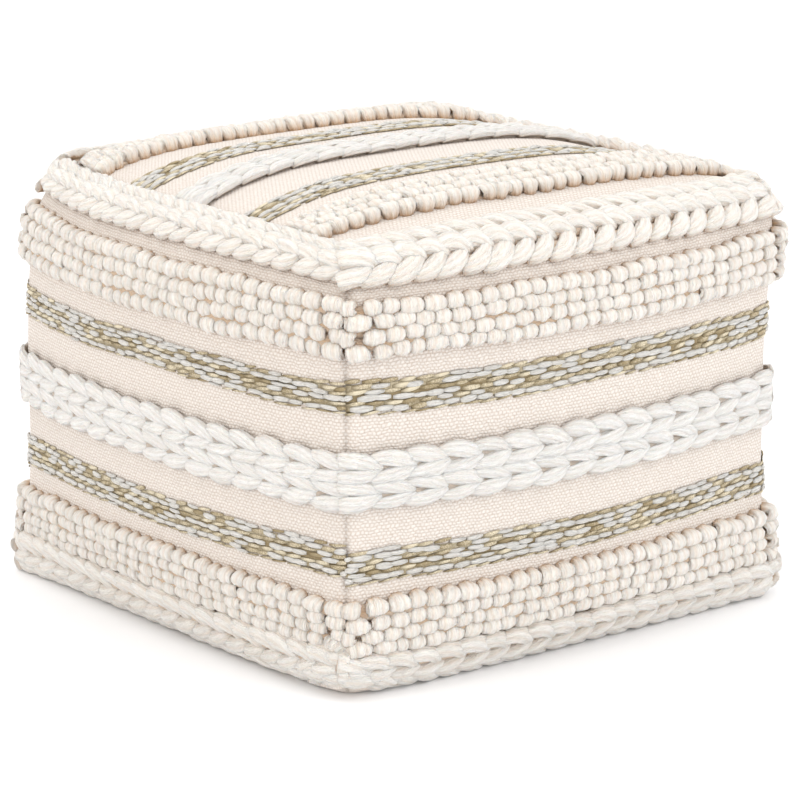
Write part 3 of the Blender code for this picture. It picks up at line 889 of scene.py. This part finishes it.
def floats(panel, name, edges, seed):
    """Packed rows of short gold and white float stitches with ragged edges."""
    low, high = edges
    rng = np.random.default_rng(seed)
    rise = (high - low) / sum(tall for _, tall in FLOAT_ROWS)
    gold_sets, white_sets = [], []
    phase = rng.uniform(0, 6, 4)
    level = low
    for row, (share, tall) in enumerate(FLOAT_ROWS):
        tall *= rise
        count = int(2 * panel.half_length / FLOAT_PITCH)
        pitch = 2 * panel.half_length / count
        x = np.arange(-1, count + 1) + 0.43 * (row % 2) + rng.uniform(-0.2, 0.2)
        x = x * pitch
        x = x - panel.half_length + rng.normal(0, 0.0011, len(x))
        long = pitch * (1.04 + rng.normal(0, 0.09, len(x)))
        start = np.maximum(x, -panel.half_length)
        end = np.minimum(x + long, panel.half_length)
        fits = end - start > SHORTEST_FLOAT
        start, end = start[fits], end[fits]
        middle = (start + end) / 2
        wander = 0.0009 * np.sin(middle * 21 + phase[0])
        wander = wander + 0.0006 * np.sin(middle * 53 + phase[1])
        y = level + tall / 2 + wander + rng.normal(0, 0.0003, len(middle))
        level += tall
        drift = 0.30 * np.sin(middle * 31 + phase[2] + row * 1.7)
        drift = drift + 0.18 * np.sin(middle * 73 + phase[3] + row * 2.9)
        gold = rng.uniform(0, 1, len(middle)) < share + drift * (row > 0)
        s = np.linspace(0, 1, 6)
        tilt = rng.normal(0, 0.0003, len(middle)) + np.where(gold, 0.0006, 0.0001)
        way = np.stack((
            start[:, None] + (end - start)[:, None] * s,
            y[:, None] + tilt[:, None] * (s - 0.5) * 2,
        ), -1)
        belly = np.sin(pi * np.clip(s, 0.04, 0.96)) ** 0.5
        for chosen, sets, wide, thick in ((gold, gold_sets, 0.44, 0.0011),
                                          (~gold, white_sets, 0.50, 0.0015)):
            many = int(chosen.sum())
            if not many:
                continue
            size = 1 + rng.normal(0, 0.10, (many, 1))
            half_width = wide * tall * (0.40 + 0.60 * belly) * size
            half_height = thick * (0.40 + 0.60 * belly) * size
            lift = 0.0003 + thick * 0.75 * belly * np.ones((many, 1))
            sets.append(bundles(panel, way[chosen], lift, half_width, half_height,
                                2, FLOAT_DEPTH, rng))
    # a flat gold bed under the float rows, coloured as lying in painted shade
    gold_sets.append(bedding(panel, 0.0004, low + 0.0035, high - 0.0035, 0.75))
    sets = gold_sets + white_sets
    which = [0] * len(gold_sets) + [1] * len(white_sets)
    piece = joined_bundles(f"{panel.name}_{name}_threads", sets, [GOLD, PALE_FLOAT],
                           which)
    dress(piece, f"{panel.name}_{name}")
    return piece


# ------------------------------------------------------------- body and base
BODY_STEPS = 72             # faces of the cover along a side, and over top and floor
SIDE_STEPS = 64             # and up a side
SEAM_DENT = 0.0035          # how deep the cover dips at a corner seam
DENT_FROM = 0.982           # share of a half side at which the dip sets in
WELD_DIGITS = 6
TOP_CLOTH, UNDER_CLOTH, BASE_SHEET_CLOTH = 5, 6, 7    # numbers of their weaves
WEAVE_SPACING = 3.0         # keeps the weaves of the panels unlike each other
UNDER_HALF = 0.2


def spaced(count):
    """Grid lines from -1 to 1, closer together near the seams."""
    w = np.linspace(-1, 1, count + 1)
    return 0.45 * w + 0.55 * np.sin(w * pi / 2)


def grid_faces(columns, rows):
    """The quads of a grid of points, as rows of four indices."""
    j, i = np.meshgrid(np.arange(rows), np.arange(columns), indexing="ij")
    a = (j * (columns + 1) + i).ravel()
    return np.stack((a, a + 1, a + columns + 2, a + columns + 1), -1)


def cloth_places(along, across, number):
    """Where each point lies on the flat cloth, for its weave."""
    spaced_out = np.broadcast_arrays(along, across, number * WEAVE_SPACING)
    return np.stack(spaced_out, -1).reshape(-1, 3)


def body_cover():
    """The filled cover: four sides, the crowned top and the flat underside."""
    u = spaced(BODY_STEPS)
    arc = np.linspace(BOTTOM_ARC, TOP_ARC, SIDE_STEPS + 1)
    grids = []
    for number, panel in enumerate(PANELS):
        x, y = np.meshgrid(u, arc)
        place = panel.surface(x, y)
        seam = np.clip((np.abs(x) - DENT_FROM) / (1 - DENT_FROM), 0, 1) ** 2
        outward = unit(place * (1, 1, 0))
        place = place - outward * (seam * SEAM_DENT)[..., None]
        along = x * panel.half_length
        grids.append((place, along, y, number, BODY_STEPS, SIDE_STEPS, False))
    x, y = np.meshgrid(u, u)
    grids.append((TOP_PANEL.surface(x, y * TOP_HALF), x * TOP_PANEL.half_length,
                  y * TOP_HALF, TOP_CLOTH, BODY_STEPS, BODY_STEPS, False))
    under = bottom_point(x, y, BODY_BEND)
    flat = np.maximum(np.abs(x), np.abs(y)) <= TURN_LINE
    under[..., 2] = np.where(flat, BASE_THICKNESS + BASE_CLEARANCE, under[..., 2])
    grids.append((under, x * UNDER_HALF, y * UNDER_HALF, UNDER_CLOTH,
                  BODY_STEPS, BODY_STEPS, True))
    # the top and the underside take their edges from the sides, to be welded
    for cap, row in ((grids[4][0], -1), (grids[5][0], 0)):
        front, right, back, left = (grid[0][row] for grid in grids[:4])
        cap[0], cap[:, -1], cap[-1], cap[:, 0] = front, right, back[::-1], left[::-1]
    places, faces, cloth, offset = [], [], [], 0
    for place, along, across, number, columns, rows, flipped in grids:
        face = grid_faces(columns, rows) + offset
        faces.append(face[:, ::-1] if flipped else face)
        places.append(place.reshape(-1, 3))
        cloth.append(cloth_places(along, across, number))
        offset += places[-1].shape[0]
    places, faces = np.concatenate(places), np.concatenate(faces)
    cloth = np.concatenate(cloth)[faces.ravel()]
    _, first, welded = np.unique(np.round(places, WELD_DIGITS), axis=0,
                                 return_index=True, return_inverse=True)
    piece = build_mesh("Filled_cover", places[first], [welded.ravel()[faces]],
                       [GROUND], {"cloth": cloth}, domain="CORNER")
    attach(piece, "root")
    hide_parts("filled_body")
    return piece


LIP_REACH = 0.025           # how far the base's lip stands out at the near corner
LIP_SPREAD = 0.86
LIP_ROUNDING = 8            # the lip's corner in plan: 2 is a circle, more is squarer
LIP_THICKNESS = 0.0016      # across the part of it that stands up
LIP_ROLL = 0.0030           # how much thicker its turned edge is
SHEET_BEND = 0.985
SHEET_STEPS = 64
SHEET_HALF = 0.216


def base_sheet():
    """The base panel: a thin sheet on the floor that curls up as a lip."""
    steps = SHEET_STEPS
    w = spaced(steps)
    p, q = np.meshgrid(w, w)
    point = bottom_point(p, q, SHEET_BEND)
    cornering = np.minimum(np.abs(p), np.abs(q))
    outer = np.maximum(np.maximum(np.abs(p), np.abs(q)), 1e-6)
    lip = lip_share(p, q)
    ear = LIP_REACH * cornering ** LIP_SPREAD * lip
    rounded = (1 + (cornering / outer) ** LIP_ROUNDING) ** (-1 / LIP_ROUNDING)
    scale = 1 + (ear - BASE_INSET) / HALF_WIDTH
    scale = scale * (1 - (1 - rounded) * lip)
    rim = np.sqrt(np.clip((outer - TURN_LINE) / (1 - TURN_LINE), 0, 1))
    height = (point[..., 2] - BASE_DROP) * cornering ** 2 * lip * rim
    lower = np.stack((point[..., 0] * scale, point[..., 1] * scale, height), -1)
    roll = LIP_ROLL * np.clip((cornering - 0.55) / 0.3, 0, 1) * rim
    inward = 1 - LIP_THICKNESS * rim * cornering ** 2 * lip / HALF_WIDTH
    upper = lower * np.stack((inward, inward, np.ones_like(p)), -1)
    upper[..., 2] += BASE_THICKNESS + roll * np.clip((lip - 0.5) / 0.3, 0, 1)
    count = (steps + 1) ** 2
    faces = grid_faces(steps, steps)
    ring = np.concatenate((
        np.arange(steps + 1), np.arange(1, steps + 1) * (steps + 1) + steps,
        (steps * (steps + 1) + np.arange(steps))[::-1],
        (np.arange(1, steps) * (steps + 1))[::-1],
    ))
    after = np.roll(ring, -1)
    wall = np.stack((ring, after, after + count, ring + count), -1)
    polygons = [np.concatenate((faces[:, ::-1], faces + count, wall))]
    places = np.concatenate((lower.reshape(-1, 3), upper.reshape(-1, 3)))
    cloth = cloth_places(p * SHEET_HALF, q * SHEET_HALF, BASE_SHEET_CLOTH)
    piece = build_mesh("Base_sheet", places, polygons, [BASE_CLOTH],
                       {"cloth": np.concatenate((cloth, cloth))})
    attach(piece, "root")
    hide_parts("base_panel")
    return piece


# ---------------------------------------------------------- camera, light, floor
# The camera as solved from the photo's seams and stripes, with its middle in view.
SENSOR = 36
FOCAL = 3830.58 / 800 * SENSOR
AZIMUTH = radians(-38.5416)
ELEVATION = radians(14.3865)
DISTANCE = 3.24002
AIM_RIGHT = 0.00658922
AIM_UP = 0.16087969

# name, place, aim, size, power and colour
LIGHTS = (
    ("Key", (0.6, -2.6, 2.6), (0, 0, 0.2), 2.2, 24, (1.0, 0.99, 0.975)),
    ("Low", (0.9, -2.8, 0.45), (0.05, -0.2, 0.05), 1.4, 8, (1.0, 0.985, 0.96)),
    ("Top", (-0.6, 0.4, 3.2), (0, 0, 0.3), 2.8, 22, (1.0, 0.995, 0.985)),
    ("Left", (-3.0, -0.2, 1.6), (0, 0, 0.2), 1.6, 14, (1.0, 0.88, 0.74)),
)
FLOOR_HALF = 8.0
FLOOR_COLOUR = (0.90, 0.905, 0.92, 1.0)
FLOOR_GLOW = 0.03
SKY_COLOUR = (1.0, 0.99, 0.98, 1.0)
SKY_STRENGTH = 1.10


def make_camera():
    level = cos(ELEVATION)
    back = Vector((sin(AZIMUTH) * level, -cos(AZIMUTH) * level, sin(ELEVATION)))
    right = Vector((cos(AZIMUTH), sin(AZIMUTH), 0))
    up = back.cross(right)
    place = right * AIM_RIGHT + Vector((0, 0, AIM_UP)) + back * DISTANCE
    place -= Vector(BOX_MIDDLE)
    data = bpy.data.cameras.new("Camera")
    data.sensor_width = SENSOR
    data.lens = FOCAL
    camera = bpy.data.objects.new("Camera", data)
    matrix = Matrix((right, up, back)).transposed().to_4x4()
    matrix.translation = place
    camera.matrix_world = matrix
    bpy.context.scene.collection.objects.link(camera)
    bpy.context.scene.camera = camera


def area_light(name, place, aim, size, power, colour):
    data = bpy.data.lights.new(name, "AREA")
    data.shape = "DISK"
    data.size = size
    data.energy = power
    data.color = colour
    light = bpy.data.objects.new(name, data)
    light.location = place
    facing = Vector(aim) - Vector(place)
    light.rotation_euler = facing.to_track_quat("-Z", "Y").to_euler()
    bpy.context.scene.collection.objects.link(light)


def make_studio():
    """A pale floor under a pale sky, with four large, soft lights."""
    mesh = bpy.data.meshes.new("Floor")
    corners = [(x * FLOOR_HALF, y * FLOOR_HALF, 0)
               for x, y in ((-1, -1), (1, -1), (1, 1), (-1, 1))]
    mesh.from_pydata(corners, [], [(0, 1, 2, 3)])
    floor = bpy.data.objects.new("Floor", mesh)
    material, shader, _ = node_tools("Studio_floor", 0.6, 0.0)
    shader.inputs["Base Color"].default_value = FLOOR_COLOUR
    shader.inputs["Emission Color"].default_value = (1.0, 1.0, 1.0, 1.0)
    shader.inputs["Emission Strength"].default_value = FLOOR_GLOW
    mesh.materials.append(material)
    bpy.context.scene.collection.objects.link(floor)
    world = bpy.data.worlds.new("Studio")
    world.use_nodes = True
    sky = world.node_tree.nodes["Background"]
    sky.inputs["Color"].default_value = SKY_COLOUR
    sky.inputs["Strength"].default_value = SKY_STRENGTH
    scene = bpy.context.scene
    scene.world = world
    scene.view_settings.view_transform = "Standard"
    for light in LIGHTS:
        area_light(*light)


# --------------------------------------------------------------------- assembly
BASE_BRAID_RISE = 0.0045    # the leaves of the floor braid reach over its solid's edge


make_camera()
make_studio()
body_cover()
base_sheet()
for number, panel in enumerate(PANELS):
    seed = 100 * number
    (braid_top, loops_upper, floats_upper, braid_mid, floats_lower, loops_lower,
     braid_base) = panel.edges
    braid(panel, EDGE_BRAID, "braid_top", braid_top, CREAM, "cream_yarn", seed + 1)
    loops(panel, "loops_upper", loops_upper, seed + 2)
    floats(panel, "floats_upper", floats_upper, seed + 3)
    braid(panel, WHITE_BRAID, "braid_mid", braid_mid, WHITE, "white_yarn", seed + 4)
    floats(panel, "floats_lower", floats_lower, seed + 5)
    loops(panel, "loops_lower", loops_lower, seed + 6)
    braid_base = braid_base[0], braid_base[1] + BASE_BRAID_RISE
    braid(panel, FLOOR_BRAID, "braid_base", braid_base, CREAM, "cream_yarn", seed + 7)
loops_near, floats_near, braid_mid, floats_far, loops_far = TOP_EDGES
loops(TOP_PANEL, "loops_near", loops_near, 501)
floats(TOP_PANEL, "floats_near", floats_near, 502)
braid(TOP_PANEL, WHITE_BRAID, "braid_mid", braid_mid, WHITE, "white_yarn", 503)
floats(TOP_PANEL, "floats_far", floats_far, 504)
loops(TOP_PANEL, "loops_far", loops_far, 505)

bpy.context.view_layer.update()
